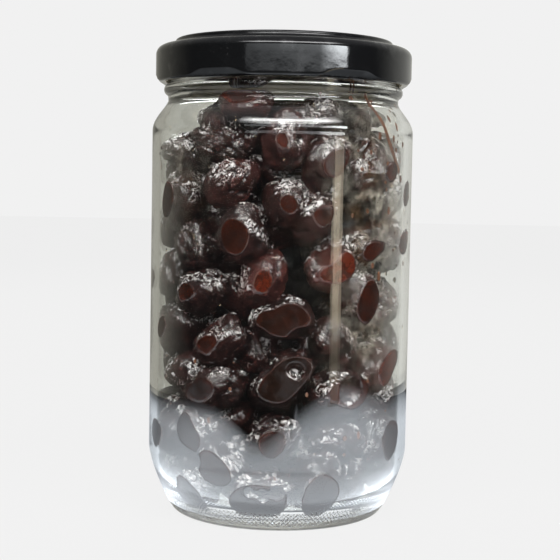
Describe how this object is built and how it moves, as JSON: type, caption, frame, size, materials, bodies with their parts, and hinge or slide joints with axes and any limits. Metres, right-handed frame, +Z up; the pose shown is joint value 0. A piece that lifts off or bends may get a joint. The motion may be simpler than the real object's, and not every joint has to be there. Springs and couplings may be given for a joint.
{
  "type": "jar of olives",
  "caption": "Clear round glass jar with a black metal twist-off lid, packed with wrinkled dry-cured black olives pressed against the glass.",
  "frame": {"origin": "centre of the foot, on the surface that the jar stands on", "axes": "+Z up along the jar's axis, -Y towards the front that the picture shows"},
  "size_m": [0.088, 0.088, 0.159],
  "materials": {
    "glass": "clear smooth moulded glass with a faint grey tint",
    "lid_black": "glossy black lacquer on tinplate",
    "olive_skin": "oily wrinkled skin, purple black to red brown"
  },
  "bodies": {
    "root": {"jar": "glass", "lid": "lid_black", "olives": "olive_skin"}
  },
  "joints": []
}
